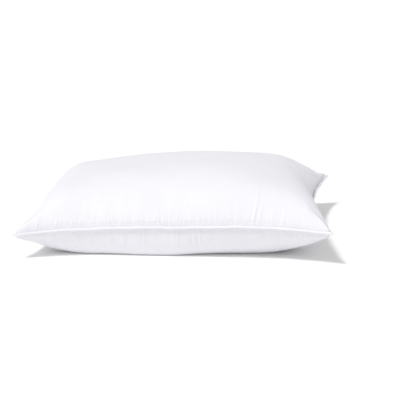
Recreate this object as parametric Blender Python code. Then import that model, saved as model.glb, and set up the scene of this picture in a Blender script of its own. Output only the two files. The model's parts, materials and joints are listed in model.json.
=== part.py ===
"""A piped bed pillow: two sewn panels, corded piping, filling, threads and a sewn-in label.

Metres, +Z up. X runs along the pillow, -Y is its front side, and the pillow rests on z = 0.
The object is drawn over stations (s, t): s runs from -1 at the left seam to 1 at the right one,
and t from -1 at the front seam to 1 at the rear one.
"""

import math

import bmesh
import bpy
from mathutils import Matrix, Vector

# Size over the piping, ear to ear, and height of the crown at the pillow's middle.
OVERALL_LENGTH = 0.700
OVERALL_WIDTH = 0.500
MIDDLE_HEIGHT = 0.174

# Height of the seam above the floor at the four ears, and how far it arches between them.
EAR_FRONT_LEFT = 0.056
EAR_FRONT_RIGHT = 0.076
EAR_REAR_LEFT = 0.050
EAR_REAR_RIGHT = 0.079
SEAM_ARCH = 0.008

# How far the filling draws the sides in between the ears.
SHORT_SIDE_PULL = 0.032
LONG_SIDE_PULL = 0.034
PULL_SPREAD = 4
EAR_BLUNTING = 0.008
EAR_TIP = 24

# Shape of the crown, and of the belly down to its flat resting patch.
CROWN_SHARPNESS = 2.7
CROWN_STEEPNESS = 0.45
BELLY_SHARPNESS = 3.3
BELLY_STEEPNESS = 0.47
BELLY_FULLNESS = 1.35

# Cloth, seam and piping.
PANEL_CLOTH = 0.0005
SEAM_ALLOWANCE = 0.012
FOLD_HEIGHT = 0.0024
TAPE_CLOTH = 0.0004
TAPE_TAIL = 0.010
TAPE_SLIT = 0.0004
PIPING_RADIUS = 0.0025
THREAD_RADIUS = 0.0002
STITCH_INSET = 0.0035
CLOSING_LENGTH = 0.16
CLOSING_THREAD_RADIUS = 0.0004

# Care label: a plain ribbon in the rear seam, hanging free below the piping.
LABEL_WIDTH = 0.038
LABEL_DROP = 0.048
LABEL_THICKNESS = 0.0004
LABEL_BAY = 6

# Clearances between pieces that touch on the real pillow.
GAP = 0.0003
THREAD_GAP = 0.0005
FILL_GAP = 0.0008
FILL_MARGIN = 0.0025

# Stations over the pillow.
SEAM_STEP = 0.005
STEPS_ALONG = 12
STEPS_ACROSS = 10
PIPING_SIDES = 10
THREAD_SIDES = 5

PIPING_CENTRE = PIPING_RADIUS + GAP
PIPING_REACH = PIPING_CENTRE + PIPING_RADIUS
HALF_LENGTH = OVERALL_LENGTH / 2 / (1 - EAR_BLUNTING) - PIPING_REACH
HALF_WIDTH = OVERALL_WIDTH / 2 / (1 - EAR_BLUNTING) - PIPING_REACH
TAIL_TOP = TAPE_SLIT / 2 + TAPE_CLOTH
ALLOWANCE_FACE = TAIL_TOP + GAP
FOLD_TOP = ALLOWANCE_FACE + FOLD_HEIGHT


# ---- The pillow's form -------------------------------------------------------------------

def stations(half_size, steps):
    """Stations from -1 to 1: one close to each seam, one past the allowance, sines between."""
    inner = 1 - (SEAM_ALLOWANCE + FILL_MARGIN) / half_size
    middle = [inner * math.sin(math.pi * (i / steps - 0.5)) for i in range(steps + 1)]
    near_seam = 1 - SEAM_STEP / half_size
    return [-1, -near_seam] + middle + [near_seam, 1]


ALONG = stations(HALF_LENGTH, STEPS_ALONG)
ACROSS = stations(HALF_WIDTH, STEPS_ACROSS)


def plan(s, t, outset=0.0):
    """Plan position of a station, with the pillow's outline moved out by outset."""
    length = HALF_LENGTH + outset - SHORT_SIDE_PULL * (1 - abs(t) ** PULL_SPREAD)
    width = HALF_WIDTH + outset - LONG_SIDE_PULL * (1 - abs(s) ** PULL_SPREAD)
    ear = 1 - EAR_BLUNTING * abs(s * t) ** EAR_TIP
    return s * length * ear, t * width * ear


def seam_height(s, t):
    """Height of the seam surface: four ears joined in straight lines, arched in between."""
    left = EAR_FRONT_LEFT * (1 - t) / 2 + EAR_REAR_LEFT * (1 + t) / 2
    right = EAR_FRONT_RIGHT * (1 - t) / 2 + EAR_REAR_RIGHT * (1 + t) / 2
    return left * (1 - s) / 2 + right * (1 + s) / 2 + SEAM_ARCH * (1 - (s * t) ** 4)


def dome(s, t, sharpness, steepness):
    """1 at the middle, falling to 0 at every seam."""
    return ((1 - abs(s) ** sharpness) * (1 - abs(t) ** sharpness)) ** steepness


CROWN_RISE = MIDDLE_HEIGHT - seam_height(0, 0) - FOLD_TOP


def crown_point(s, t):
    """A point of the upper cloth's outer face."""
    rise = FOLD_TOP + CROWN_RISE * dome(s, t, CROWN_SHARPNESS, CROWN_STEEPNESS)
    return Vector((*plan(s, t), seam_height(s, t) + rise))


def belly_point(s, t):
    """A point of the lower cloth's outer face, flat where it rests on the floor."""
    height = seam_height(s, t)
    drop = FOLD_TOP + BELLY_FULLNESS * height * dome(s, t, BELLY_SHARPNESS, BELLY_STEEPNESS)
    return Vector((*plan(s, t), max(0.0, height - drop)))


def seam_point(station, outset, rise):
    """A point beside the seam line, outset from it in plan and rise above it."""
    return Vector((*plan(*station, outset), seam_height(*station) + rise))


SEAM_STATIONS = ([(s, -1) for s in ALONG[:-1]] + [(1, t) for t in ACROSS[:-1]]
                 + [(s, 1) for s in reversed(ALONG[1:])] + [(-1, t) for t in reversed(ACROSS[1:])])


# ---- Making objects ----------------------------------------------------------------------

def material(name, colour, roughness):
    made = bpy.data.materials.new(name)
    made.use_nodes = True
    shader = made.node_tree.nodes["Principled BSDF"]
    shader.inputs["Base Color"].default_value = (*colour, 1)
    shader.inputs["Roughness"].default_value = roughness
    shader.inputs["Metallic"].default_value = 0
    return made


def add_object(name, bm, finish):
    """Turn a finished bmesh into a smooth-shaded object in the scene."""
    mesh = bpy.data.meshes.new(name)
    bm.to_mesh(mesh)
    bm.free()
    mesh.shade_smooth()
    mesh.set_sharp_from_angle(angle=math.radians(40))
    mesh.materials.append(finish)
    piece = bpy.data.objects.new(name, mesh)
    bpy.context.collection.objects.link(piece)
    return piece


def cloth_grid(bm, along, across, point):
    """A grid over the stations, each vertex put where point says.
    Returns its vertices, and its border as a map from vertex to station."""
    made = bmesh.ops.create_grid(bm, x_segments=len(along) - 1, y_segments=len(across) - 1,
                                 size=1)
    border = {}
    for vert in made["verts"]:
        column = round((vert.co.x + 1) / 2 * (len(along) - 1))
        row = round((vert.co.y + 1) / 2 * (len(across) - 1))
        station = (along[column], across[row])
        vert.co = point(*station)
        if vert.is_boundary:
            border[vert] = station
    return made["verts"], border


def extrude_beside_seam(bm, edges, border, outset, rise):
    """Extrude edges that run round the seam to a line beside it.
    Returns the new edges and their map from vertex to station."""
    made = bmesh.ops.extrude_edge_only(bm, edges=edges)["geom"]
    new_edges = [item for item in made if isinstance(item, bmesh.types.BMEdge)]
    new_border = {}
    for vert in {vert for edge in new_edges for vert in edge.verts}:
        old = next(edge.other_vert(vert) for edge in vert.link_edges
                   if edge.other_vert(vert) in border)
        new_border[vert] = border[old]
        vert.co = seam_point(border[old], outset, rise)
    return new_edges, new_border


def panel(name, point, side, finish):
    """One cover panel: its cloth, the fold at the seam and the allowance turned inwards.
    side is 1 for the panel above the seam and -1 for the one below it."""
    bm = bmesh.new()
    _, border = cloth_grid(bm, ALONG, ACROSS, point)
    edges = [edge for edge in bm.edges if edge.is_boundary]
    for outset in (0, -SEAM_ALLOWANCE):
        edges, border = extrude_beside_seam(bm, edges, border, outset, side * ALLOWANCE_FACE)
    if side < 0:
        bmesh.ops.reverse_faces(bm, faces=bm.faces)
    piece = add_object(name, bm, finish)
    cloth = piece.modifiers.new("cloth", "SOLIDIFY")
    cloth.thickness = PANEL_CLOTH
    cloth.offset = -1
    cloth.use_even_offset = True
    cloth.use_quality_normals = True
    return piece


def seam_ring(name, profile, finish):
    """Sweep a closed profile of (outset, rise) points once round the whole seam."""
    bm = bmesh.new()
    first = [bm.verts.new(seam_point(station, *profile[0])) for station in SEAM_STATIONS]
    start = [bm.edges.new((first[i - 1], first[i])) for i in range(len(first))]
    edges, border = start, dict(zip(first, SEAM_STATIONS))
    for outset, rise in profile[1:]:
        edges, border = extrude_beside_seam(bm, edges, border, outset, rise)
    bmesh.ops.bridge_loops(bm, edges=start + edges)
    bmesh.ops.recalc_face_normals(bm, faces=bm.faces)
    return add_object(name, bm, finish)


def circle(centre_outset, centre_rise, radius, sides):
    return [(centre_outset + radius * math.cos(2 * math.pi * i / sides),
             centre_rise + radius * math.sin(2 * math.pi * i / sides)) for i in range(sides)]


# ---- The pieces --------------------------------------------------------------------------

def piping_profile(sides):
    """The bias tape's section: round the cord, then two flat tails into the seam."""
    def arc(radius, half_opening):
        start = math.pi - math.asin(half_opening / radius)
        return [(PIPING_CENTRE + radius * math.cos(start - 2 * start * i / sides),
                 radius * math.sin(start - 2 * start * i / sides)) for i in range(sides + 1)]

    slit = TAPE_SLIT / 2
    outer = arc(PIPING_RADIUS, TAIL_TOP)
    inner = arc(PIPING_RADIUS - TAPE_CLOTH, slit)
    return ([(-TAPE_TAIL, TAIL_TOP)] + outer + [(-TAPE_TAIL, -TAIL_TOP), (-TAPE_TAIL, -slit)]
            + inner[::-1] + [(-TAPE_TAIL, slit)])


def filling(finish):
    """The filling: the space between the panels, short of the allowances."""
    bm = bmesh.new()
    along, across = ALONG[2:-2], ACROSS[2:-2]
    cloth_grid(bm, along, across, crown_point)
    lower, _ = cloth_grid(bm, along, across, belly_point)
    bmesh.ops.reverse_faces(bm, faces=list({face for vert in lower for face in vert.link_faces}))
    bmesh.ops.bridge_loops(bm, edges=[edge for edge in bm.edges if edge.is_boundary])
    bmesh.ops.recalc_face_normals(bm, faces=bm.faces)
    bm.normal_update()
    for vert, inward in [(vert, -vert.normal) for vert in bm.verts]:
        vert.co += inward * (PANEL_CLOTH + FILL_GAP)
    return add_object("fill", bm, finish)


def closing_stitches(finish):
    """The row of stitches that shuts the filling hole, on the left side above the piping.
    It runs from station to station, so it is CLOSING_LENGTH long to within one of them."""
    reach = CLOSING_LENGTH / OVERALL_WIDTH
    path = []
    for t in [t for t in ACROSS if abs(t) < reach]:
        foot = seam_point((-1, t), 0, FOLD_TOP)
        head = crown_point(ALONG[1], t)
        up = (head - foot).normalized()
        away = up.cross(Vector((0, 1, 0)))
        path.append(foot.lerp(head, 0.4) + away * (GAP + CLOSING_THREAD_RADIUS))
    curve = bpy.data.curves.new("closing_stitches", "CURVE")
    curve.dimensions = "3D"
    curve.bevel_depth = CLOSING_THREAD_RADIUS
    curve.bevel_resolution = 1
    curve.use_fill_caps = True
    spline = curve.splines.new("POLY")
    spline.points.add(len(path) - 1)
    for point, place in zip(spline.points, path):
        point.co = (*place, 1)
    curve.materials.append(finish)
    piece = bpy.data.objects.new("closing_stitches", curve)
    bpy.context.collection.objects.link(piece)
    return piece


def care_label(finish):
    """The label's free flap. Its object's origin is on the line it swings about, at the seam."""
    root_rise = -PIPING_RADIUS - GAP
    start, end = [seam_point((s, 1), 0, root_rise) for s in ALONG[LABEL_BAY:LABEL_BAY + 2]]
    along = (end - start).normalized()
    out = along.cross(Vector((0, 0, -1))).normalized()
    up = along.cross(out)
    hinge = (start + end) / 2 + out * (GAP + LABEL_THICKNESS / 2)
    bm = bmesh.new()
    bmesh.ops.create_cube(bm, size=1)
    bmesh.ops.scale(bm, vec=(LABEL_WIDTH, LABEL_THICKNESS, LABEL_DROP), verts=bm.verts)
    bmesh.ops.translate(bm, vec=(0, 0, -LABEL_DROP / 2), verts=bm.verts)
    piece = add_object("care_label", bm, finish)
    piece.matrix_world = (Matrix.Translation(hinge)
                          @ Matrix((along, out, up)).transposed().to_4x4())
    return piece


def build():
    for old in list(bpy.data.objects):
        bpy.data.objects.remove(old, do_unlink=True)
    percale = material("percale", (0.93, 0.93, 0.95), 0.85)
    bias_tape = material("bias_tape", (0.93, 0.93, 0.95), 0.8)
    cotton_cord = material("cotton_cord", (0.88, 0.87, 0.84), 0.9)
    fibre = material("fibre", (0.92, 0.92, 0.92), 1.0)
    thread = material("thread", (0.94, 0.94, 0.95), 0.6)
    satin = material("satin", (0.90, 0.90, 0.92), 0.45)

    panel("top_panel", crown_point, 1, percale)
    panel("bottom_panel", belly_point, -1, percale)
    seam_ring("piping_tape", piping_profile(PIPING_SIDES), bias_tape)
    cord_radius = (PIPING_RADIUS - TAPE_CLOTH) * math.cos(math.pi / PIPING_SIDES) - GAP
    seam_ring("piping_cord", circle(PIPING_CENTRE, 0, cord_radius, PIPING_SIDES), cotton_cord)
    filling(fibre)
    thread_rise = ALLOWANCE_FACE + PANEL_CLOTH + THREAD_GAP + THREAD_RADIUS
    for name, side in (("needle_thread", 1), ("bobbin_thread", -1)):
        seam_ring(name, circle(-STITCH_INSET, side * thread_rise, THREAD_RADIUS, THREAD_SIDES), thread)
    closing_stitches(thread)
    care_label(satin)


build()
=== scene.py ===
import json
import math

import bmesh
import bpy
import numpy as np
from mathutils import Matrix, Vector


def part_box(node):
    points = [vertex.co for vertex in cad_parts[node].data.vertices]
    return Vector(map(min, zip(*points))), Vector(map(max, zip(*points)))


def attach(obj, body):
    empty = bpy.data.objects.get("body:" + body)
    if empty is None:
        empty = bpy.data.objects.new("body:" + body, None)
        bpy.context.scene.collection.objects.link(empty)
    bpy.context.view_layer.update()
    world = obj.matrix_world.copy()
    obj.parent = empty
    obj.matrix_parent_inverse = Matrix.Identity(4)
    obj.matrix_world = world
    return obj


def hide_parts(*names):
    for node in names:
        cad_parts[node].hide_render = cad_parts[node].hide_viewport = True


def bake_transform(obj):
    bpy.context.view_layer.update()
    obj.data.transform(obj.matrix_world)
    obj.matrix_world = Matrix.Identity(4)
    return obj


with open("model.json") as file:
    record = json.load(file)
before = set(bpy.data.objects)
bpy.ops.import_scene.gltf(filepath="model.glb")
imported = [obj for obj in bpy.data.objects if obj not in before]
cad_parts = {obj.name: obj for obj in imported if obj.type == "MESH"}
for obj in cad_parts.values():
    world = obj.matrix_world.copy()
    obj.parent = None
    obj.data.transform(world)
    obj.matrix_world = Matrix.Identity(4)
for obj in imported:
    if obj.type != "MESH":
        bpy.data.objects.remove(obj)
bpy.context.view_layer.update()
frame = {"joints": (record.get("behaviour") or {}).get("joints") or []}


# ---- Floor, light and camera -------------------------------------------------------------
# A plain white floor, one soft key light from above the front left, a low soft light from
# the front, and a camera with a long lens a little above the pillow.

FLOOR_HALF_SIZE = 30
FLOOR_COLOUR = (0.955, 0.955, 0.95)
FLOOR_ROUGHNESS = 0.95
KEY_DIRECTION = (0.406, 0.354, -1)
KEY_STRENGTH = 1.73
KEY_SOFTNESS = math.radians(10)
SKY_STRENGTH = 0.625
LOW_LIGHT_STRENGTH = 12.5
LOW_LIGHT_PLACE = (-1.3, -2.7, 0.14)
LOW_LIGHT_SIZE = (3.0, 0.22)
SENSOR_MM = 36
LENS_MM = 99.5
CAMERA_YAW = -0.067
CAMERA_PITCH = 0.284
CAMERA_DISTANCE = 2.955
CAMERA_TARGET = Vector((0.0525, 0.196, 0))


def add_object(name, data):
    """A new object at the origin, with its place in its mesh."""
    piece = bpy.data.objects.new(name, data)
    bpy.context.collection.objects.link(piece)
    return piece


def shader_material(name, colour, roughness):
    """A material with one principled shader. Returns it, its node tree and the shader."""
    made = bpy.data.materials.new(name)
    made.use_nodes = True
    tree = made.node_tree
    shader = tree.nodes["Principled BSDF"]
    shader.inputs["Base Color"].default_value = (*colour, 1)
    shader.inputs["Roughness"].default_value = roughness
    shader.inputs["Specular IOR Level"].default_value = 0.25
    return made, tree, shader


floor_paint, _, _ = shader_material("floor_paint", FLOOR_COLOUR, FLOOR_ROUGHNESS)
bm = bmesh.new()
bmesh.ops.create_grid(bm, x_segments=1, y_segments=1, size=FLOOR_HALF_SIZE)
floor_mesh = bpy.data.meshes.new("floor")
bm.to_mesh(floor_mesh)
bm.free()
floor_mesh.materials.append(floor_paint)
floor = add_object("floor", floor_mesh)

world = bpy.data.worlds.new("studio")
world.use_nodes = True
world.node_tree.nodes["Background"].inputs["Color"].default_value = (1, 1, 1, 1)
world.node_tree.nodes["Background"].inputs["Strength"].default_value = SKY_STRENGTH
bpy.context.scene.world = world

key = add_object("key_light", bpy.data.lights.new("key_light", "SUN"))
key.data.energy = KEY_STRENGTH
key.data.angle = KEY_SOFTNESS
key.rotation_euler = Vector(KEY_DIRECTION).to_track_quat("-Z", "Y").to_euler()

low_light = add_object("low_light", bpy.data.lights.new("low_light", "AREA"))
low_light.data.shape = "RECTANGLE"
low_light.data.size, low_light.data.size_y = LOW_LIGHT_SIZE
low_light.data.energy = LOW_LIGHT_STRENGTH
low_light.location = LOW_LIGHT_PLACE
low_light.rotation_euler = (-low_light.location).to_track_quat("-Z", "Y").to_euler()

forward = Vector((math.sin(CAMERA_YAW) * math.cos(CAMERA_PITCH),
                  math.cos(CAMERA_YAW) * math.cos(CAMERA_PITCH),
                  -math.sin(CAMERA_PITCH)))
camera = add_object("camera", bpy.data.cameras.new("camera"))
camera.data.sensor_width = SENSOR_MM
camera.data.lens = LENS_MM
camera.location = CAMERA_TARGET - forward * CAMERA_DISTANCE
camera.rotation_euler = forward.to_track_quat("-Z", "Y").to_euler()
bpy.context.scene.camera = camera
bpy.context.scene.view_settings.view_transform = "Standard"


# ---- Seam line ---------------------------------------------------------------------------
# Both panels and the piping are sewn together along one line round the pillow. The filling
# draws it in between the four ears, in a straighter line on the right side than elsewhere,
# and it wavers a little where the cloth is gathered. The rear right ear curls up.
# Stations (s, t) run over the pillow from -1 to 1, as they do on the CAD pieces.

PIPING_RADIUS = 0.0029
PIPING_CENTRE = 0.0032
EAR_BLUNTING = 0.008
EAR_TIP = 24
SHORT_SIDE_PULL = 0.032
RIGHT_SIDE_PULL = 0.036
RIGHT_SIDE_SAG = 0.002
WAIST_SOFTNESS = 0.03
WAIST_POWER = 0.75
LONG_SIDE_PULL = 0.034
EAR_FRONT_LEFT = 0.056
EAR_FRONT_RIGHT = 0.076
EAR_REAR_LEFT = 0.045
EAR_REAR_RIGHT = 0.070
EAR_CURL = 0.013
EAR_DIP = 0.009
EAR_CURL_IN = 0.010
SEAM_ARCH = 0.008
CELLS_ALONG = 126
CELLS_ACROSS = 90
EAR_ROUNDING = 7
WAVER = 0.0006
EAR_REACH_LEFT = 0.006
EAR_REACH_FRONT = 0.006
EAR_REACH_REAR = 0.009

tape_low, tape_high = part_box("piping_tape")
PIPING_REACH = 0.0053
HALF_LENGTH = (tape_high.x - tape_low.x) / 2 / (1 - EAR_BLUNTING) - PIPING_REACH
HALF_WIDTH = (tape_high.y - tape_low.y) / 2 / (1 - EAR_BLUNTING) - PIPING_REACH

rng = np.random.default_rng(28)


def hump(at, middle, width):
    """1 at the middle, falling smoothly to nearly nothing two widths away."""
    return np.exp(-((at - middle) / width) ** 2)


def seam_surface(s, t, outset=0.0):
    """Points of the surface that the seam lies in, with the outline moved out by outset."""
    at_waist = WAIST_SOFTNESS ** WAIST_POWER
    at_ear = (1 + WAIST_SOFTNESS) ** WAIST_POWER
    from_waist = ((t ** 2 + WAIST_SOFTNESS) ** WAIST_POWER - at_waist) / (at_ear - at_waist)
    pull = np.where(s < 0, SHORT_SIDE_PULL * (1 - t ** 4), RIGHT_SIDE_PULL * (1 - from_waist))
    length = HALF_LENGTH + outset - pull
    width = HALF_WIDTH + outset - LONG_SIDE_PULL * (1 - np.abs(s) ** 4)
    ear = 1 - EAR_BLUNTING * np.abs(s * t) ** EAR_TIP
    reach = np.where(s < 0, EAR_REACH_LEFT, np.where(t < 0, EAR_REACH_FRONT, EAR_REACH_REAR))
    length = length + reach * np.abs(t) ** 10 * np.abs(s) ** 6
    left = EAR_FRONT_LEFT * (1 - t) / 2 + EAR_REAR_LEFT * (1 + t) / 2
    right = EAR_FRONT_RIGHT * (1 - t) / 2 + EAR_REAR_RIGHT * (1 + t) / 2
    at_right = np.clip(s, 0, 1) ** 12
    height = left * (1 - s) / 2 + right * (1 + s) / 2
    height = height + SEAM_ARCH * (1 - (s * t) ** 4) * (1 - at_right)
    height = height - RIGHT_SIDE_SAG * (1 - t ** 2) * at_right
    curled = (np.clip(s, 0, 1) * np.clip(t, 0, 1)) ** 14
    height = height + EAR_CURL * curled - EAR_DIP * hump(s, 0.88, 0.07) * np.clip(t, 0, 1) ** 6
    width = width - EAR_CURL_IN * curled
    return np.stack([s * length * ear, t * width * ear, height], axis=-1)


fine_s = np.linspace(-1, 1, 2 * CELLS_ALONG + 1)
fine_t = np.linspace(-1, 1, 2 * CELLS_ACROSS + 1)
last_column = 2 * CELLS_ALONG
last_row = 2 * CELLS_ACROSS
seam_cells = ([(0, i) for i in range(last_column)] + [(j, last_column) for j in range(last_row)]
              + [(last_row, i) for i in range(last_column, 0, -1)]
              + [(j, 0) for j in range(last_row, 0, -1)])
seam_rows, seam_columns = np.array(seam_cells).T
seam_s = fine_s[seam_columns]
seam_t = fine_t[seam_rows]
seam_place = seam_surface(seam_s, seam_t)
seam_steps = np.linalg.norm(np.roll(seam_place, -1, axis=0) - seam_place, axis=1)
seam_length = seam_steps.sum()
seam_along = np.concatenate([[0], np.cumsum(seam_steps)[:-1]])


def wavering(sizes, lengths):
    """A few sine waves that close round the seam, each of about the given length."""
    total = np.zeros(len(seam_along))
    for size, length in zip(sizes, lengths):
        turns = round(seam_length / length)
        total += size * np.sin(2 * math.pi * turns * seam_along / seam_length
                               + rng.uniform(0, 2 * math.pi))
    return total


waver_out = wavering((0.8, 0.6, 0.5), (0.19, 0.083, 0.037)) * WAVER
waver_up = wavering((1.0, 0.8, 0.5), (0.23, 0.097, 0.041)) * WAVER


def seam_line(outset, rise):
    """The points of a line beside the seam, outset from it in plan and rise above it.
    outset and rise are numbers, or one number for each station of the seam."""
    points = seam_surface(seam_s, seam_t, outset + waver_out)
    points[:, 2] += rise + waver_up
    for _ in range(EAR_ROUNDING):
        points = points / 2 + (np.roll(points, 1, axis=0) + np.roll(points, -1, axis=0)) / 4
    return points


# ---- Cover cloth, filled -----------------------------------------------------------------
# The cover is two rectangles of down-proof cotton percale sewn together all round. Filling
# it swells both of them, flattens the lower one on the floor and gathers them at the seam.

FLAT_LENGTH = 0.711
FLAT_WIDTH = 0.508
SEAM_ALLOWANCE = 0.012
ARCH_HALF_LENGTH = 0.31
ARCH_HALF_WIDTH = 0.21
START_RISE = 0.100
BELLY_FULLNESS = 1.35
CROWN_SHAPE = (2.7, 0.45)
BELLY_SHAPE = (3.3, 0.47)
SWELLING_PRESSURE = 3.5
SWELLING_FRAMES = 20
SEAM_GATHER = 0.008
SEWN_BAND = 0.003
EAR_HOLD = 0.012
CLOTH_MASS = 0.3
CLOTH_TENSION = 15
CLOTH_SHEAR = 5
CLOTH_BENDING = 0.5
CLOTH_DAMPING = 5
FLOOR_PLAY = 0.002
FLOOR_GRIP = 20


def profile(u, shape):
    """1 at the middle, falling to 0 at the seam."""
    sharpness, steepness = shape
    return (1 - np.abs(u) ** sharpness) ** steepness


def even_spread(count, half, rise, shape):
    """Stations from -1 to 1 that are evenly spaced along the arch between two seams."""
    u = np.linspace(0, 1, 400)
    steps = np.hypot(np.diff(u * half), np.diff(rise * profile(u, shape)))
    arc = np.concatenate([[0], np.cumsum(steps)])
    at = np.linspace(-1, 1, count)
    return np.sign(at) * np.interp(np.abs(at) * arc[-1], arc, u)


def start_form(side):
    """The cloth's points before it swells, row by row, on the arches of the crown or belly."""
    shape = CROWN_SHAPE if side > 0 else BELLY_SHAPE
    across = even_spread(CELLS_ACROSS + 1, ARCH_HALF_WIDTH, START_RISE, shape)
    along = even_spread(CELLS_ALONG + 1, ARCH_HALF_LENGTH, START_RISE, shape)
    row_rises = START_RISE * profile(across, shape) + 1e-6
    column_rises = START_RISE * profile(along, shape) + 1e-6
    s = np.stack([even_spread(CELLS_ALONG + 1, ARCH_HALF_LENGTH, rise, shape)
                  for rise in row_rises])
    t = np.stack([even_spread(CELLS_ACROSS + 1, ARCH_HALF_WIDTH, rise, shape)
                  for rise in column_rises], axis=1)
    points = seam_surface(s, t)
    dome = profile(s, shape) * profile(t, shape)
    if side > 0:
        points[..., 2] += START_RISE * dome
    else:
        points[..., 2] = np.maximum(0.001, points[..., 2] * (1 - BELLY_FULLNESS * dome))
    return points


skin = {side: start_form(side) for side in (1, -1)}

bm = bmesh.new()
flat_layer = bm.verts.layers.float_vector.new("flat")
for side in (1, -1):
    made = bmesh.ops.create_grid(bm, x_segments=CELLS_ALONG, y_segments=CELLS_ACROSS, size=1)
    for vert in made["verts"]:
        column = round((vert.co.x + 1) / 2 * CELLS_ALONG)
        row = round((vert.co.y + 1) / 2 * CELLS_ACROSS)
        vert[flat_layer] = (column, row, side)
        vert.co = skin[side][row, column]
    if side < 0:
        lower_faces = {face for vert in made["verts"] for face in vert.link_faces}
        bmesh.ops.reverse_faces(bm, faces=list(lower_faces))
border = [vert for vert in bm.verts if vert.is_boundary]
bmesh.ops.remove_doubles(bm, verts=border, dist=1e-6)
cover_mesh = bpy.data.meshes.new("cover")
bm.to_mesh(cover_mesh)
bm.free()
cover = add_object("cover", cover_mesh)

count = len(cover_mesh.vertices)
cells = np.empty(count * 3, np.float32)
cover_mesh.attributes["flat"].data.foreach_get("vector", cells)
cells = cells.reshape(-1, 3)
flat = np.zeros((count, 3), np.float32)
flat[:, 0] = (cells[:, 0] / CELLS_ALONG - 0.5) * FLAT_LENGTH
flat[:, 1] = (cells[:, 1] / CELLS_ACROSS - 0.5) * FLAT_WIDTH
from_short_side = FLAT_LENGTH / 2 - np.abs(flat[:, 0])
from_long_side = FLAT_WIDTH / 2 - np.abs(flat[:, 1])
cover.shape_key_add(name="filled")
cut = cover.shape_key_add(name="cut")
cut.data.foreach_set("co", flat.ravel())

ears = cover.vertex_groups.new(name="ears")
in_ears = np.nonzero(np.hypot(from_short_side, from_long_side) < EAR_HOLD)[0]
ears.add(in_ears.tolist(), 1, "REPLACE")
sewn = cover.vertex_groups.new(name="sewn")
in_seam = np.nonzero(np.minimum(from_short_side, from_long_side) < SEWN_BAND)[0]
sewn.add(in_seam.tolist(), 1, "REPLACE")

swell = cover.modifiers.new("swell", "CLOTH")
cloth = swell.settings
cloth.quality = 5
cloth.mass = CLOTH_MASS
cloth.tension_stiffness = CLOTH_TENSION
cloth.compression_stiffness = CLOTH_TENSION
cloth.shear_stiffness = CLOTH_SHEAR
cloth.bending_stiffness = CLOTH_BENDING
cloth.tension_damping = CLOTH_DAMPING
cloth.compression_damping = CLOTH_DAMPING
cloth.shear_damping = CLOTH_DAMPING
cloth.use_pressure = True
cloth.uniform_pressure_force = SWELLING_PRESSURE
cloth.effector_weights.gravity = 0
cloth.rest_shape_key = cut
cloth.vertex_group_mass = "ears"
cloth.vertex_group_shrink = "sewn"
cloth.shrink_min = 0
cloth.shrink_max = SEAM_GATHER
swell.collision_settings.use_collision = True
swell.collision_settings.distance_min = FLOOR_PLAY
swell.collision_settings.friction = FLOOR_GRIP
swell.point_cache.frame_start = 1
swell.point_cache.frame_end = SWELLING_FRAMES

bm = bmesh.new()
bmesh.ops.create_grid(bm, x_segments=1, y_segments=1, size=1)
bmesh.ops.translate(bm, vec=(0, 0, -FLOOR_PLAY), verts=bm.verts)
table_mesh = bpy.data.meshes.new("table")
bm.to_mesh(table_mesh)
bm.free()
table = add_object("table", table_mesh)
table.modifiers.new("hold", "COLLISION")
table.collision.thickness_outer = FLOOR_PLAY
table.collision.cloth_friction = FLOOR_GRIP

for frame_number in range(1, SWELLING_FRAMES + 1):
    bpy.context.scene.frame_set(frame_number)
swollen = cover.evaluated_get(bpy.context.evaluated_depsgraph_get()).to_mesh()
points = np.empty(count * 3, np.float32)
swollen.vertices.foreach_get("co", points)
points = points.reshape(-1, 3).astype(float)
columns, rows = np.rint(cells[:, :2]).astype(int).T
on_seam = np.minimum(from_short_side, from_long_side) < 1e-5
for side in (1, -1):
    mine = on_seam | (cells[:, 2] * side > 0)
    skin[side][rows[mine], columns[mine]] = points[mine]
bpy.data.objects.remove(cover)
bpy.data.objects.remove(table)
bpy.context.scene.frame_set(1)


# ---- Cover panels ------------------------------------------------------------------------
# Each panel is down-proof cotton percale, cut once and sewn to the piping. Its edges turn
# inwards along the seam, and the spare cloth stands in small gathers square to the seam.
# Folds spread from the ears and run up the right side, where the seam is drawn in most.

PANEL_CLOTH = 0.0005
ALLOWANCE_FACE = 0.0009
FOLD_HEIGHT = 0.0012
SEAM_TUCK = 0.0014
SEAM_PULL_REACH = 0.12
FOLD_ANGLE = math.radians(75)
CALM_ROUNDS = 30
CALM_BORDER = 3
CALM_BLEND = 8

CROWN_RISE = 0.0055
LEFT_SHOULDER_RISE = 0.0115
RIGHT_SHOULDER_RISE = 0.0045
RIGHT_MIDDLE_RISE = 0.0055
LEFT_FLANK_IN = 0.010
RIGHT_BULGE_OUT = 0.002
RIGHT_BULGE_UP = 0.009
REAR_FLANK_DROP = 0.007
BELLY_DROP = 0.016
BELLY_OUT = 0.004
BELLY_SETTLING = 0.0016

# The gathers' height, spacing, reach and lean.
FINE_GATHERS = (0.00090, 0.0110, 0.040, 0.06)
MIDDLE_GATHERS = (0.00080, 0.023, 0.050, 0.02)
BROAD_GATHERS = (0.00060, 0.050, 0.080, 0.0)
SHORT_SIDE_FULLNESS = 2.0
LOWER_FULLNESS = 1.25
EAR_FOLDS = 6
EAR_FOLD_HEIGHT = 0.0019
# The long creases' height, place along the front seam, start, end, width and slant.
TOP_CREASES = ((0.0009, 0.183, 0.004, 0.105, 0.0036, 0.06),
               (0.0007, 0.195, 0.004, 0.080, 0.0034, 0.10),
               (0.0008, 0.247, 0.004, 0.060, 0.0036, 0.12))
BOTTOM_CREASES = ((0.0012, 0.050, 0.004, 0.100, 0.0036, 0.02),
                  (0.0012, 0.062, 0.004, 0.095, 0.0036, 0.02),
                  (0.0015, 0.249, 0.003, 0.120, 0.0036, 0.0))
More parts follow.
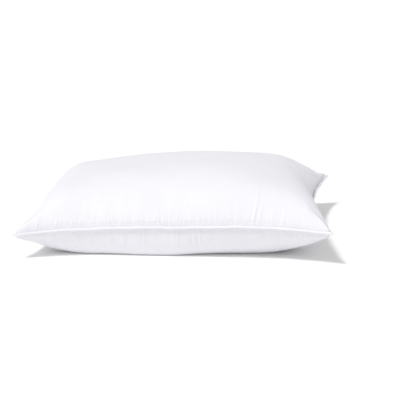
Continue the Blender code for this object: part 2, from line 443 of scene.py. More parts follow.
# The right side's folds: height, place along the seam and slant.
SIDE_FOLDS = ((0.0014, -0.150, 0.08), (0.0020, -0.096, -0.05), (0.0013, -0.058, 0.04),
              (0.0022, -0.010, 0.06), (0.0036, 0.035, 0.10), (0.0048, 0.062, 0.02),
              (0.0040, 0.092, 0.06), (0.0050, 0.118, -0.05), (0.0044, 0.147, 0.02),
              (0.0050, 0.172, -0.10), (0.0042, 0.196, -0.16), (0.0036, 0.217, -0.26))
SIDE_FOLD_START = 0.022
SIDE_FOLD_END = 0.090
SIDE_FOLD_WIDTH = 0.0054
SIDE_FOLD_GROWTH = 7
LUMPS = 7
LUMP_HEIGHT = 0.0005

PERCALE_COLOUR = (0.785, 0.783, 0.824)
YARN_PITCH = 0.00036
YARN_DEPTH_MM = 0.035
SLUB_DEPTH_MM = 0.05
WAVE_DEPTH_MM = 0.8
GATHER_PITCH = 0.0085
GATHER_DEPTH_MM = 1.7
GATHER_STRETCH = (1, 0.22, 1)
GATHER_FADE = 24
GATHER_START = 260

grid_x = fine_s[None, :] * FLAT_LENGTH / 2 + 0 * fine_t[:, None]
grid_y = fine_t[:, None] * FLAT_WIDTH / 2 + 0 * fine_s[None, :]
from_seam = np.minimum(FLAT_LENGTH / 2 - np.abs(grid_x), FLAT_WIDTH / 2 - np.abs(grid_y))


def finer(points):
    """Twice as many cells each way, on smooth curves through the points."""
    for axis in (0, 1):
        points = np.swapaxes(points, 0, axis)
        longer = np.concatenate([2 * points[:1] - points[1:2], points,
                                 2 * points[-1:] - points[-2:-1]])
        halfway = (9 * (longer[1:-2] + longer[2:-1]) - longer[:-3] - longer[3:]) / 16
        both = np.empty((2 * len(points) - 1, *points.shape[1:]))
        both[::2] = points
        both[1::2] = halfway
        points = np.swapaxes(both, 0, axis)
    return points


def ease(x):
    """0 below 0, 1 above 1, and a smooth step in between."""
    x = np.clip(x, 0, 1)
    return x * x * (3 - 2 * x)


def calmed(points):
    """The cloth with small buckles eased out of its middle, its border left as it is."""
    rows, columns = points.shape[:2]
    from_row_end = np.minimum(np.arange(rows), np.arange(rows)[::-1])[:, None]
    from_column_end = np.minimum(np.arange(columns), np.arange(columns)[::-1])[None, :]
    from_border = np.minimum(from_row_end, from_column_end)
    share = ease((from_border - CALM_BORDER) / CALM_BLEND)[1:-1, 1:-1, None]
    for _ in range(CALM_ROUNDS):
        beside = (points[:-2, 1:-1] + points[2:, 1:-1] + points[1:-1, :-2] + points[1:-1, 2:]) / 4
        points = points.copy()
        points[1:-1, 1:-1] += share * (beside - points[1:-1, 1:-1]) / 2
    return points


def drawn_to_seam(points, side):
    """The panel moved so that its border lies on the sewn line, the middle left as it is."""
    target = seam_line(0, side * ALLOWANCE_FACE)
    move = np.zeros_like(points)
    move[seam_rows, seam_columns] = target - points[seam_rows, seam_columns]
    left = 1 - ease((FLAT_LENGTH / 2 + grid_x[:1, :, None]) / SEAM_PULL_REACH)
    right = 1 - ease((FLAT_LENGTH / 2 - grid_x[:1, :, None]) / SEAM_PULL_REACH)
    front = 1 - ease((FLAT_WIDTH / 2 + grid_y[:, :1, None]) / SEAM_PULL_REACH)
    rear = 1 - ease((FLAT_WIDTH / 2 - grid_y[:, :1, None]) / SEAM_PULL_REACH)
    along = left * move[:, :1] + right * move[:, -1:]
    across = front * move[:1] + rear * move[-1:]
    corners = (front * (left * move[0, 0] + right * move[0, -1])
               + rear * (left * move[-1, 0] + right * move[-1, -1]))
    return points + along + across - corners


def settled(points, side):
    """The panel with the filling settled: the crown fuller at its shoulders and in the right
    half, its left flank drawn in, and the belly fuller along its front."""
    s = grid_x / (FLAT_LENGTH / 2)
    t = grid_y / (FLAT_WIDTH / 2)
    inner = (1 - s ** 6) * (1 - t ** 6)
    if side > 0:
        rise = (CROWN_RISE + LEFT_SHOULDER_RISE * hump(s, -0.80, 0.17)
                + RIGHT_SHOULDER_RISE * hump(s, 0.74, 0.16) + RIGHT_MIDDLE_RISE * hump(s, 0.42, 0.40))
        points[..., 2] += inner * rise
        in_front = 1 - ease((t + 0.10) / 0.45)
        right_bulge = hump(s, 0.86, 0.12) * in_front * (1 - t ** 6)
        points[..., 0] += RIGHT_BULGE_OUT * right_bulge
        points[..., 2] += RIGHT_BULGE_UP * right_bulge
        rear_flank = hump(s, 0.95, 0.05) * ease((t - 0.25) / 0.4) * (1 - t ** 8)
        points[..., 2] -= REAR_FLANK_DROP * rear_flank
        left_flank = hump(s, -0.92, 0.10) * (1 - np.clip(-t, 0, 1) ** 3)
        points[..., 0] -= LEFT_FLANK_IN * left_flank * inner
    else:
        front_left = hump(s, -0.62, 0.30) * hump(t, -0.80, 0.17)
        front_middle = hump(s, -0.12, 0.30) * hump(t, -0.80, 0.14)
        points[..., 2] -= BELLY_DROP * (front_left + front_middle) * inner
        points[..., 1] -= BELLY_OUT * front_left * inner
    return points


def outward(points, side):
    """The panel's outward normals, one for each of its points."""
    along = np.gradient(points, axis=1)
    across = np.gradient(points, axis=0)
    normal = side * np.cross(along, across)
    return normal / np.maximum(np.linalg.norm(normal, axis=-1, keepdims=True), 1e-12)


def gathers(along, away, half, spacing, reach, lean):
    """Ridges with sharp valleys between them that run in from a seam, 1 high at their best.
    Their spacing, strength and reach vary from one to the next, and they fan out at the ears."""
    count = int(2.4 * half / spacing) + 4
    valleys = np.cumsum(spacing * rng.uniform(0.55, 1.5, count))
    valleys -= valleys[-1] / 2
    strength = rng.uniform(0.25, 1.0, count)
    far = reach * rng.uniform(0.5, 1.35, count)
    slant = rng.normal(0, lean, count)
    number = np.arange(count)
    root = along * (1 + 0.55 * away / half)
    root = root + np.interp(root, valleys, slant) * away
    turn = np.interp(root, valleys, number)
    between = turn - np.floor(turn)
    size = np.interp(turn, number + 0.5, strength)
    fade = np.interp(turn, number + 0.5, far)
    ridge = np.sqrt(np.maximum(np.sin(math.pi * between), 0)) - 0.7
    rising = ease(away / (0.45 * spacing))
    falling = np.exp(-(away / fade) ** 1.6)
    near_ear = ease((half - np.abs(along)) / 0.055)
    return ridge * size * rising * falling * near_ear


def ear_folds(side_x, side_y, folds):
    """Folds that spread from the tip of one ear, 1 high at their best."""
    from_x = FLAT_LENGTH / 2 - side_x * grid_x
    from_y = FLAT_WIDTH / 2 - side_y * grid_y
    radius = np.hypot(from_x, from_y)
    angle = np.arctan2(from_y, from_x) / (math.pi / 2)
    valleys = np.concatenate([[-0.08], np.sort(rng.uniform(0.06, 0.94, folds)), [1.08]])
    valleys = valleys / 2 + np.linspace(-0.08, 1.08, folds + 2) / 2
    strength = rng.uniform(0.35, 1.0, folds + 2)
    bend = rng.uniform(-0.25, 0.25)
    turn = np.interp(angle + bend * radius, valleys, np.arange(folds + 2))
    ridge = np.sqrt(np.maximum(np.sin(math.pi * (turn - np.floor(turn))), 0)) - 0.7
    size = np.interp(turn, np.arange(folds + 2) + 0.5, strength)
    reach = ease(radius / 0.035) * np.exp(-(radius / 0.105) ** 2)
    return ridge * size * reach


def crease(along, away, place, start, end, width, slant):
    """One long ridge with a valley on each side, square to the seam, 1 high at its best."""
    across = (along - place - slant * away) / width
    ridge = (1 - across ** 2) * np.exp(-across ** 2 / 2)
    return ridge * ease(away / start) * (1 - ease((away - start) / (end - start)))


def relief(side):
    """How far the gathers, folds and lumps lift the cloth off its swollen shape, in metres."""
    lift = np.zeros_like(grid_x)
    front = FLAT_WIDTH / 2 + grid_y
    right = FLAT_LENGTH / 2 - grid_x
    seams = ((grid_x, front, FLAT_LENGTH / 2, 1.0),
             (grid_x, FLAT_WIDTH / 2 - grid_y, FLAT_LENGTH / 2, 1.0),
             (grid_y, FLAT_LENGTH / 2 + grid_x, FLAT_WIDTH / 2, SHORT_SIDE_FULLNESS),
             (grid_y, right, FLAT_WIDTH / 2, SHORT_SIDE_FULLNESS))
    for along, away, half, fullness in seams:
        for kind in (FINE_GATHERS, MIDDLE_GATHERS, BROAD_GATHERS):
            height, spacing, reach, lean = kind
            share = 1.0 if kind is FINE_GATHERS else fullness
            lift += height * share * gathers(along, away, half, spacing, reach, lean)
    for side_x in (-1, 1):
        for side_y in (-1, 1):
            lift += EAR_FOLD_HEIGHT * ear_folds(side_x, side_y, EAR_FOLDS)
    if side < 0:
        lift *= LOWER_FULLNESS
    for height, *form in TOP_CREASES if side > 0 else BOTTOM_CREASES:
        lift += height * crease(grid_x, front, *form)
    for height, place, slant in SIDE_FOLDS if side > 0 else ():
        end = SIDE_FOLD_END + SIDE_FOLD_GROWTH * height
        lift += height * crease(grid_y, right, place, SIDE_FOLD_START, end, SIDE_FOLD_WIDTH, slant)
    lumps = np.zeros_like(grid_x)
    for _ in range(LUMPS):
        heading = rng.uniform(0, math.pi)
        wave = rng.uniform(0.12, 0.26)
        shift = rng.uniform(0, 2 * math.pi)
        phase = (grid_x * math.cos(heading) + grid_y * math.sin(heading)) / wave
        lumps += np.sin(2 * math.pi * phase + shift)
    return lift + LUMP_HEIGHT * lumps * ease(from_seam / 0.08)


smooth_panels = {}
panel_points = {}
for side in (1, -1):
    sheet = calmed(skin[side]) if side > 0 else skin[side]
    points = settled(drawn_to_seam(finer(sheet), side), side)
    swell_at_fold = ease(from_seam / 0.004) * np.exp(-from_seam / 0.05)
    points[..., 2] += side * FOLD_HEIGHT * swell_at_fold
    tucked = SEAM_TUCK * ease(from_seam / 0.003) * hump(from_seam, 0, 0.007)
    points -= outward(points, side) * tucked[..., None]
    if side < 0:
        points[..., 2] -= BELLY_SETTLING * (1 - ease(points[..., 2] / 0.03))
        points[..., 2] = np.maximum(points[..., 2], 0)
    smooth_panels[side] = points
    lifted = points + outward(points, side) * relief(side)[..., None]
    if side < 0:
        lifted[..., 2] = np.maximum(lifted[..., 2], 0)
    lifted[seam_rows, seam_columns] = points[seam_rows, seam_columns]
    panel_points[side] = lifted


def math_node(tree, operation, first, second):
    """A Math node on two inputs, each a socket or a number."""
    node = tree.nodes.new("ShaderNodeMath")
    node.operation = operation
    for socket, value in zip(node.inputs, (first, second)):
        if isinstance(value, (int, float)):
            socket.default_value = value
        else:
            tree.links.new(value, socket)
    return node.outputs["Value"]


def noise_node(tree, vector, scale, detail):
    """A Noise texture on a vector, or on Object coordinates where vector is None."""
    node = tree.nodes.new("ShaderNodeTexNoise")
    node.inputs["Scale"].default_value = scale
    node.inputs["Detail"].default_value = detail
    if vector is None:
        vector = tree.nodes.new("ShaderNodeTexCoord").outputs["Object"]
    tree.links.new(vector, node.inputs["Vector"])
    return node.outputs["Fac"]


def cloth_place(tree, name):
    """The x and y of the place on the flat cloth that an attribute holds, in metres."""
    attribute = tree.nodes.new("ShaderNodeAttribute")
    attribute.attribute_name = name
    split = tree.nodes.new("ShaderNodeSeparateXYZ")
    tree.links.new(attribute.outputs["Vector"], split.inputs["Vector"])
    return split.outputs["X"], split.outputs["Y"], attribute.outputs["Vector"]


def plain_weave(tree, x, y, pitch):
    """Yarns over and under each other: 0 in the gaps, 1 on top of a yarn."""
    warp = math_node(tree, "SINE", math_node(tree, "MULTIPLY", x, math.pi / pitch), 0)
    weft = math_node(tree, "SINE", math_node(tree, "MULTIPLY", y, math.pi / pitch), 0)
    return math_node(tree, "MULTIPLY_ADD", math_node(tree, "MULTIPLY", warp, weft), 0.5)


def tint(tree, shader, factor, dark, light):
    """The shader's colour runs from dark to light as factor goes from 0 to 1."""
    ramp = tree.nodes.new("ShaderNodeMix")
    ramp.data_type = "RGBA"
    ramp.inputs["A"].default_value = (*dark, 1)
    ramp.inputs["B"].default_value = (*light, 1)
    tree.links.new(factor, ramp.inputs["Factor"])
    tree.links.new(ramp.outputs["Result"], shader.inputs["Base Color"])


def relief_in_mm(tree, shader, height):
    """The shader's bump, from a height in millimetres."""
    bump = tree.nodes.new("ShaderNodeBump")
    bump.inputs["Strength"].default_value = 1
    bump.inputs["Distance"].default_value = 0.001
    tree.links.new(height, bump.inputs["Height"])
    tree.links.new(bump.outputs["Normal"], shader.inputs["Normal"])


percale, tree, shader = shader_material("percale", PERCALE_COLOUR, 0.85)
shader.inputs["Sheen Weight"].default_value = 0.12
shader.inputs["Sheen Roughness"].default_value = 0.45
x, y, place = cloth_place(tree, "flat_cloth")
weave = plain_weave(tree, x, y, YARN_PITCH)
cloudy = noise_node(tree, place, 11, 2)
slubs = noise_node(tree, place, 420, 1)
shade = math_node(tree, "ADD", math_node(tree, "MULTIPLY", cloudy, 0.6),
                  math_node(tree, "MULTIPLY", weave, 0.25))
shade = math_node(tree, "ADD", shade, math_node(tree, "MULTIPLY", slubs, 0.2))
tint(tree, shader, shade, tuple(0.955 * c for c in PERCALE_COLOUR),
     tuple(1.03 * c for c in PERCALE_COLOUR))
rough = math_node(tree, "MULTIPLY_ADD", slubs, 0.12)
rough.node.inputs[2].default_value = 0.79
tree.links.new(rough, shader.inputs["Roughness"])
along, away, beside = cloth_place(tree, "beside_seam")
drawn_out = tree.nodes.new("ShaderNodeVectorMath")
drawn_out.operation = "MULTIPLY"
drawn_out.inputs[1].default_value = GATHER_STRETCH
tree.links.new(beside, drawn_out.inputs[0])
beside = drawn_out.outputs["Vector"]
wander = noise_node(tree, beside, 34, 1)
turns = math_node(tree, "ADD", math_node(tree, "MULTIPLY", along, math.pi / GATHER_PITCH),
                  math_node(tree, "MULTIPLY", wander, 9))
ridges = math_node(tree, "ABSOLUTE", math_node(tree, "SINE", turns, 0), 0)
strength = noise_node(tree, beside, 55, 1)
fine_gathers = math_node(tree, "MULTIPLY", ridges, math_node(tree, "POWER", strength, 2))
seam_fade = math_node(tree, "EXPONENT", math_node(tree, "MULTIPLY", away, -GATHER_FADE), 0)
seam_start = math_node(tree, "EXPONENT", math_node(tree, "MULTIPLY", away, -GATHER_START), 0)
seam_fade = math_node(tree, "SUBTRACT", seam_fade, seam_start)
fine_gathers = math_node(tree, "MULTIPLY", fine_gathers, seam_fade)
soft_waves = noise_node(tree, place, 26, 2)
height = math_node(tree, "MULTIPLY", fine_gathers, GATHER_DEPTH_MM)
for part, depth in ((soft_waves, WAVE_DEPTH_MM), (weave, YARN_DEPTH_MM), (slubs, SLUB_DEPTH_MM)):
    height = math_node(tree, "ADD", height, math_node(tree, "MULTIPLY", part, depth))
relief_in_mm(tree, shader, height)

nearer_long_side = FLAT_WIDTH / 2 - np.abs(grid_y) <= FLAT_LENGTH / 2 - np.abs(grid_x)
beside_along = np.where(nearer_long_side, grid_x + 2 * np.sign(grid_y), grid_y + 5 * np.sign(grid_x))


def sew_panel(name, side):
    """A panel of closed cloth with its seam allowances turned inwards."""
    points = panel_points[side]
    bm = bmesh.new()
    flat_layer = bm.verts.layers.float_vector.new("flat_cloth")
    beside_layer = bm.verts.layers.float_vector.new("beside_seam")
    made = bmesh.ops.create_grid(bm, x_segments=last_column, y_segments=last_row, size=1)
    border = {}
    for vert in made["verts"]:
        column = round((vert.co.x + 1) / 2 * last_column)
        row = round((vert.co.y + 1) / 2 * last_row)
        vert.co = points[row, column]
        vert[flat_layer] = (grid_x[row, column], grid_y[row, column], side)
        vert[beside_layer] = (beside_along[row, column], from_seam[row, column], side)
        if vert.is_boundary:
            border[row, column] = vert
    number_at = {cell: number for number, cell in enumerate(seam_cells)}
    number_of = {vert: number_at[cell] for cell, vert in border.items()}
    turned_in = seam_line(-SEAM_ALLOWANCE, side * ALLOWANCE_FACE)
    edges = [edge for edge in bm.edges if edge.is_boundary]
    made = bmesh.ops.extrude_edge_only(bm, edges=edges)["geom"]
    for vert in [item for item in made if isinstance(item, bmesh.types.BMVert)]:
        root = next(edge.other_vert(vert) for edge in vert.link_edges
                    if edge.other_vert(vert) in number_of)
        vert.co = turned_in[number_of[root]]
    if side < 0:
        bmesh.ops.reverse_faces(bm, faces=bm.faces)
    mesh = bpy.data.meshes.new(name)
    bm.to_mesh(mesh)
    bm.free()
    mesh.shade_smooth()
    mesh.set_sharp_from_angle(angle=FOLD_ANGLE)
    mesh.materials.append(percale)
    panel = add_object(name, mesh)
    thickness = panel.modifiers.new("cloth", "SOLIDIFY")
    thickness.thickness = PANEL_CLOTH
    thickness.offset = -1
    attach(panel, "pillow")
    return panel


top_panel = sew_panel("top_panel_cloth", 1)
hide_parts("top_panel")
bottom_panel = sew_panel("bottom_panel_cloth", -1)
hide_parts("bottom_panel")


# ---- Filling -----------------------------------------------------------------------------
# Loose fibre that fills the cover and presses both panels out. It stops short of the seam
# allowances, and only the cloth round it holds it.

FILL_CLEARANCE = 0.0032
FILL_STEP = 2
FILL_SHORT = 6

fill_layers = {}
for side in (1, -1):
    points = smooth_panels[side] - outward(smooth_panels[side], side) * FILL_CLEARANCE
    fill_layers[side] = points[FILL_SHORT:-FILL_SHORT:FILL_STEP, FILL_SHORT:-FILL_SHORT:FILL_STEP]
fill_rows, fill_columns = fill_layers[1].shape[:2]
bm = bmesh.new()
for side in (1, -1):
    made = bmesh.ops.create_grid(bm, x_segments=fill_columns - 1, y_segments=fill_rows - 1, size=1)
    for vert in made["verts"]:
        column = round((vert.co.x + 1) / 2 * (fill_columns - 1))
        row = round((vert.co.y + 1) / 2 * (fill_rows - 1))
        vert.co = fill_layers[side][row, column]
    if side < 0:
        lower_faces = {face for vert in made["verts"] for face in vert.link_faces}
        bmesh.ops.reverse_faces(bm, faces=list(lower_faces))
bmesh.ops.bridge_loops(bm, edges=[edge for edge in bm.edges if edge.is_boundary])
bmesh.ops.recalc_face_normals(bm, faces=bm.faces)
fill_mesh = bpy.data.meshes.new("filling")
bm.to_mesh(fill_mesh)
bm.free()
fill_mesh.shade_smooth()

fibre, tree, shader = shader_material("fibre", (0.86, 0.86, 0.85), 1.0)
clumps = noise_node(tree, None, 60, 4)
strands = noise_node(tree, None, 700, 3)
tint(tree, shader, clumps, (0.78, 0.78, 0.76), (0.90, 0.90, 0.89))
height = math_node(tree, "ADD", math_node(tree, "MULTIPLY", clumps, 3),
                   math_node(tree, "MULTIPLY", strands, 0.6))
relief_in_mm(tree, shader, height)
fill_mesh.materials.append(fibre)
filling = add_object("filling", fill_mesh)
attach(filling, "pillow")
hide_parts("fill")


# ---- Piping tape -------------------------------------------------------------------------
# A strip of the same percale cut on the bias, folded round a cord and sewn into the seam by
# its two tails. Its ends lap over each other once, near the front right ear.

TAPE_CLOTH = 0.0004
TAPE_TAIL = 0.010
TAPE_SLIT = 0.0004
PIPING_SIDES = 12
LAP_PLACE = 0.247
LAP_LENGTH = 0.011
LAP_RISE = 0.0009
PINCH_HEIGHT = 0.00010
DRAG_DEPTH_MM = 0.5
TAPE_SHARP_ANGLE = math.radians(60)


def sweep(name, rings, finish, layer_name):
    """A tube through closed rings of points that follow the seam, rings[profile point, station].
    The attribute layer_name holds each point's place along and round the tube, in metres."""
    bm = bmesh.new()
    layer = bm.verts.layers.float_vector.new(layer_name)
    count = rings.shape[1]
    steps_round = np.linalg.norm(np.diff(rings[:, 0], axis=0), axis=1)
    round_tube = np.concatenate([[0], np.cumsum(steps_round)])
    first = []
    for number in range(count):
        vert = bm.verts.new(rings[0, number])
        vert[layer] = (seam_along[number], 0, 0)
        first.append(vert)
    start = [bm.edges.new((first[number - 1], first[number])) for number in range(count)]
    edges = start
    number_of = {vert: number for number, vert in enumerate(first)}
    for row in range(1, len(rings)):
        made = bmesh.ops.extrude_edge_only(bm, edges=edges)["geom"]
        edges = [item for item in made if isinstance(item, bmesh.types.BMEdge)]
        moved = {}
        for vert in [item for item in made if isinstance(item, bmesh.types.BMVert)]:
            old = next(edge.other_vert(vert) for edge in vert.link_edges
                       if edge.other_vert(vert) in number_of)
            moved[vert] = number_of[old]
            vert.co = rings[row, number_of[old]]
            vert[layer] = (seam_along[number_of[old]], round_tube[row], 0)
        number_of = moved
    bmesh.ops.bridge_loops(bm, edges=start + edges)
    bmesh.ops.recalc_face_normals(bm, faces=bm.faces)
    mesh = bpy.data.meshes.new(name)
    bm.to_mesh(mesh)
    bm.free()
    mesh.shade_smooth()
    mesh.set_sharp_from_angle(angle=TAPE_SHARP_ANGLE)
    mesh.materials.append(finish)
    return add_object(name, mesh)


def tape_arc(radius, half_opening):
    """Angles and the radius of the tape's path round the cord, from one tail to the other."""
    start = math.pi - math.asin(half_opening / radius)
    return [(start - 2 * start * i / PIPING_SIDES, radius) for i in range(PIPING_SIDES + 1)]


on_lap = (seam_t == -1) & (np.abs(seam_s * FLAT_LENGTH / 2 - LAP_PLACE) < LAP_LENGTH / 2)
pinch = 0.5 * wavering((1.0, 0.7), (0.0113, 0.0171))
tail_top = TAPE_SLIT / 2 + TAPE_CLOTH
tape_rings = [seam_line(-TAPE_TAIL, tail_top)]
for angle, radius in tape_arc(PIPING_RADIUS, tail_top):
    round_top = math.sin(angle / 2 + math.pi / 2) ** 2
    swollen_radius = radius + LAP_RISE * on_lap + PINCH_HEIGHT * pinch * round_top
    tape_rings.append(seam_line(PIPING_CENTRE + swollen_radius * math.cos(angle),
                                swollen_radius * math.sin(angle)))
tape_rings += [seam_line(-TAPE_TAIL, -tail_top), seam_line(-TAPE_TAIL, -TAPE_SLIT / 2)]
for angle, radius in reversed(tape_arc(PIPING_RADIUS - TAPE_CLOTH, TAPE_SLIT / 2)):
    tape_rings.append(seam_line(PIPING_CENTRE + radius * math.cos(angle), radius * math.sin(angle)))
tape_rings.append(seam_line(-TAPE_TAIL, TAPE_SLIT / 2))

bias_tape, tree, shader = shader_material("bias_tape", PERCALE_COLOUR, 0.8)
shader.inputs["Sheen Weight"].default_value = 0.12
shader.inputs["Sheen Roughness"].default_value = 0.45
x, y, _ = cloth_place(tree, "along_tape")
bias_one = math_node(tree, "MULTIPLY", math_node(tree, "ADD", x, y), math.sqrt(0.5))
bias_two = math_node(tree, "MULTIPLY", math_node(tree, "SUBTRACT", x, y), math.sqrt(0.5))
weave = plain_weave(tree, bias_one, bias_two, YARN_PITCH)
squeezed = tree.nodes.new("ShaderNodeCombineXYZ")
tree.links.new(bias_one, squeezed.inputs["X"])
tree.links.new(math_node(tree, "MULTIPLY", bias_two, 0.2), squeezed.inputs["Y"])
drag = noise_node(tree, squeezed.outputs["Vector"], 260, 1)
tint(tree, shader, math_node(tree, "MULTIPLY_ADD", weave, 0.6),
     tuple(0.98 * c for c in PERCALE_COLOUR), tuple(1.05 * c for c in PERCALE_COLOUR))
height = math_node(tree, "ADD", math_node(tree, "MULTIPLY", drag, DRAG_DEPTH_MM),
                   math_node(tree, "MULTIPLY", weave, YARN_DEPTH_MM))
relief_in_mm(tree, shader, height)

piping = sweep("piping_tape_cover", np.array(tape_rings), bias_tape, "along_tape")
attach(piping, "pillow")
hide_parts("piping_tape")


# ---- Piping cord -------------------------------------------------------------------------
# A twisted cotton cord of three plies that lies inside the piping tape and keeps it round.

CORD_RADIUS = 0.00165
CORD_SIDES = 12
PLIES = 3
PLY_TURN = 0.009
PLY_RELIEF = 0.07

cord_turns = round(seam_length / PLY_TURN)
cord_rings = []
for side_number in range(CORD_SIDES):
    angle = 2 * math.pi * side_number / CORD_SIDES
    twist = PLIES * angle + 2 * math.pi * cord_turns * seam_along / seam_length
    radius = CORD_RADIUS * (1 - PLY_RELIEF + PLY_RELIEF * np.cos(twist))
    cord_rings.append(seam_line(PIPING_CENTRE + radius * math.cos(angle), radius * math.sin(angle)))

cotton_cord, tree, shader = shader_material("cotton_cord", (0.78, 0.77, 0.72), 0.9)
x, y, place = cloth_place(tree, "along_cord")
lay = math_node(tree, "ADD", math_node(tree, "MULTIPLY", x, 2 * math.pi / PLY_TURN * PLIES),
                math_node(tree, "MULTIPLY", y, PLIES / CORD_RADIUS))
yarn = math_node(tree, "MULTIPLY_ADD", math_node(tree, "SINE", lay, 0), 0.5)
fuzz = noise_node(tree, place, 1400, 2)
tint(tree, shader, fuzz, (0.70, 0.69, 0.64), (0.84, 0.83, 0.78))
relief_in_mm(tree, shader, math_node(tree, "ADD", math_node(tree, "MULTIPLY", yarn, 0.2),
                                     math_node(tree, "MULTIPLY", fuzz, 0.15)))
cord_core = sweep("piping_cord_core", np.array(cord_rings), cotton_cord, "along_cord")
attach(cord_core, "pillow")
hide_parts("piping_cord")


# ---- Seam threads ------------------------------------------------------------------------
# The seam is one row of lockstitches just inside the piping: the needle thread shows on the
# upper allowance and the bobbin thread on the lower one, both hidden inside the cover.

STITCH_LENGTH = 0.0026
STITCH_PITCH = 0.0032
STITCH_INSET = 0.0035
THREAD_RADIUS = 0.0002
THREAD_RISE = 0.0021

thread, tree, shader = shader_material("thread", (0.86, 0.86, 0.88), 0.55)
shader.inputs["Sheen Weight"].default_value = 0.2
x, y, _ = cloth_place(tree, "along_stitch")
spun = math_node(tree, "SINE", math_node(tree, "MULTIPLY", math_node(tree, "ADD", x, y), 9000), 0)
tint(tree, shader, math_node(tree, "MULTIPLY_ADD", spun, 0.5),
     (0.80, 0.80, 0.82), (0.90, 0.90, 0.92))
relief_in_mm(tree, shader, math_node(tree, "MULTIPLY", spun, 0.03))


def stitches(name, places, headings, ups, length, radius):
    """A row of short stitches of thread, each lying along its heading, its top towards up."""
    bm = bmesh.new()
    layer = bm.verts.layers.float_vector.new("along_stitch")
    made = bmesh.ops.create_uvsphere(bm, u_segments=6, v_segments=4, radius=1)["verts"]
    bmesh.ops.rotate(bm, matrix=Matrix.Rotation(math.pi / 2, 3, "Y"), verts=made)
    for vert in made:
        vert[layer] = (vert.co.x * length / 2, math.atan2(vert.co.y, vert.co.z) * radius, 0)
    bmesh.ops.scale(bm, vec=(length / 2, radius, radius), verts=made)
    one_stitch = bpy.data.meshes.new("one_stitch")
    bm.to_mesh(one_stitch)
    size = len(one_stitch.vertices)
    for _ in places[1:]:
        bm.from_mesh(one_stitch)
    bm.verts.ensure_lookup_table()
    for number, (place, heading, up) in enumerate(zip(places, headings, ups)):
        heading = Vector(heading).normalized()
        aside = Vector(up).cross(heading).normalized()
        turned = Matrix((heading, aside, heading.cross(aside))).transposed()
        for vert in bm.verts[number * size:(number + 1) * size]:
            vert.co = Vector(place) + turned @ vert.co
    mesh = bpy.data.meshes.new(name)
    bm.to_mesh(mesh)
    bm.free()
    bpy.data.meshes.remove(one_stitch)
    mesh.shade_smooth()
    mesh.materials.append(thread)
    return add_object(name, mesh)


def evenly(points, pitch):
    """Places a pitch apart along a closed line, and the heading at each."""
    closed = np.concatenate([points, points[:1]])
    run = np.concatenate([[0], np.cumsum(np.linalg.norm(np.diff(closed, axis=0), axis=1))])
    at = np.linspace(0, run[-1], round(run[-1] / pitch) + 1)[:-1]
    places = np.stack([np.interp(at, run, closed[:, k]) for k in range(3)], axis=1)
    return places, np.roll(places, -1, axis=0) - np.roll(places, 1, axis=0)


for name, side, node in (("needle_stitches", 1, "needle_thread"),
                         ("bobbin_stitches", -1, "bobbin_thread")):
    places, headings = evenly(seam_line(-STITCH_INSET, side * THREAD_RISE), STITCH_PITCH)
    row = stitches(name, places, headings, [(0, 0, 1)] * len(places), STITCH_LENGTH, THREAD_RADIUS)
    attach(row, "pillow")
    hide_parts(node)


# ---- Closing stitches --------------------------------------------------------------------
# The filling hole in the left side is shut by a row of stitches close above the piping.

CLOSING_LENGTH = 0.16
CLOSING_PITCH = 0.0036
CLOSING_STITCH = 0.0028
CLOSING_THREAD = 0.00028
CLOSING_ROW = 2
CLOSING_RISE = 0.6 * CLOSING_THREAD

top_points = panel_points[1]
row_points = top_points[:, CLOSING_ROW]
row_normals = outward(top_points, 1)[:, CLOSING_ROW]
run = np.concatenate([[0], np.cumsum(np.linalg.norm(np.diff(row_points, axis=0), axis=1))])
middle = run[len(run) // 2]
at = np.arange(middle - CLOSING_LENGTH / 2, middle + CLOSING_LENGTH / 2, CLOSING_PITCH)
places = np.stack([np.interp(at, run, row_points[:, k]) for k in range(3)], axis=1)
normals = np.stack([np.interp(at, run, row_normals[:, k]) for k in range(3)], axis=1)
places += normals * CLOSING_RISE
headings = np.gradient(places, axis=0)
closing_row = stitches("closing_row", places, headings, normals, CLOSING_STITCH, CLOSING_THREAD)
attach(closing_row, "pillow")
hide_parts("closing_stitches")


# ---- Care label --------------------------------------------------------------------------
# A blank woven satin ribbon, caught in the rear seam under the piping, so that it hangs free from
# the line where it leaves the seam, placed at the label_swing hinge that model.json gives.

LABEL_WIDTH = 0.038
LABEL_DROP = 0.047
LABEL_ROOT = 0.004
LABEL_CLOTH = 0.00025
LABEL_CURL = 0.0030
LABEL_RIPPLE = 0.0010
LABEL_CLEARANCE = 0.0004
LABEL_CELLS = 16
LABEL_ROWS = 22
RIB_PITCH = 0.0005
PICK_PITCH = 0.0009
SELVEDGE = 0.0016

hinge = next(joint for joint in frame["joints"] if joint["name"] == "label_swing")
label_centre = Vector(hinge["pos_m"])
label_along = Vector(hinge["axis"]).normalized()
label_out = label_along.cross(Vector((0, 0, -1))).normalized()
label_up = label_along.cross(label_out)

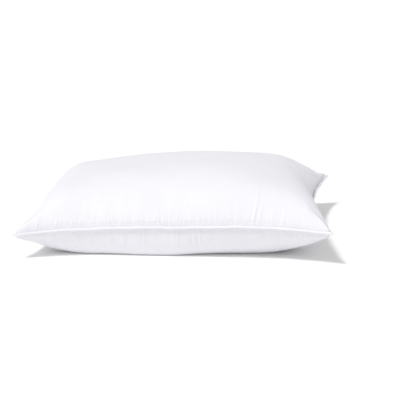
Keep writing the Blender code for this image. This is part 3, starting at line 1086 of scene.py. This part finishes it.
satin, tree, shader = shader_material("satin", (0.80, 0.80, 0.83), 0.42)
shader.inputs["Sheen Weight"].default_value = 0.1
x, y, place = cloth_place(tree, "on_ribbon")
ribs = math_node(tree, "SINE", math_node(tree, "MULTIPLY", x, 2 * math.pi / RIB_PITCH), 0)
picks = math_node(tree, "SINE", math_node(tree, "MULTIPLY", y, 2 * math.pi / PICK_PITCH), 0)
cloud = noise_node(tree, place, 90, 2)
selvedge = math_node(tree, "GREATER_THAN", math_node(tree, "ABSOLUTE", x, 0),
                     LABEL_WIDTH / 2 - SELVEDGE)
shade = math_node(tree, "SUBTRACT", cloud, math_node(tree, "MULTIPLY", selvedge, 0.35))
tint(tree, shader, shade, (0.74, 0.74, 0.77), (0.84, 0.84, 0.87))
height = math_node(tree, "ADD", math_node(tree, "MULTIPLY", ribs, 0.02),
                   math_node(tree, "MULTIPLY", picks, 0.012))
height = math_node(tree, "ADD", height, math_node(tree, "MULTIPLY", selvedge, 0.08))
relief_in_mm(tree, shader, height)

bm = bmesh.new()
layer = bm.verts.layers.float_vector.new("on_ribbon")
made = bmesh.ops.create_grid(bm, x_segments=LABEL_CELLS, y_segments=LABEL_ROWS, size=0.5)
for vert in made["verts"]:
    sideways = vert.co.x * LABEL_WIDTH
    down = (0.5 - vert.co.y) * (LABEL_DROP + LABEL_ROOT) - LABEL_ROOT
    vert[layer] = (sideways, down, 0)
    free = max(0.0, down) / LABEL_DROP
    curl = LABEL_CURL * free ** 2 * (1 + 0.5 * math.sin(3 * vert.co.x + 0.6))
    ripple = LABEL_RIPPLE * math.sin(2 * math.pi * vert.co.x * 1.3 + 1.0) * min(1, 2 * free)
    away = curl + ripple + LABEL_CLEARANCE
    if down < 0:
        away = LABEL_CLEARANCE + down * 0.8
        down = down * 0.35
    vert.co = label_centre + label_along * sideways - label_up * down + label_out * away
bmesh.ops.recalc_face_normals(bm, faces=bm.faces)
label_mesh = bpy.data.meshes.new("ribbon_label")
bm.to_mesh(label_mesh)
bm.free()
label_mesh.shade_smooth()
label_mesh.materials.append(satin)
label = add_object("ribbon_label", label_mesh)
thickness = label.modifiers.new("ribbon", "SOLIDIFY")
thickness.thickness = LABEL_CLOTH
thickness.offset = 0
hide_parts("care_label")
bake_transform(label)
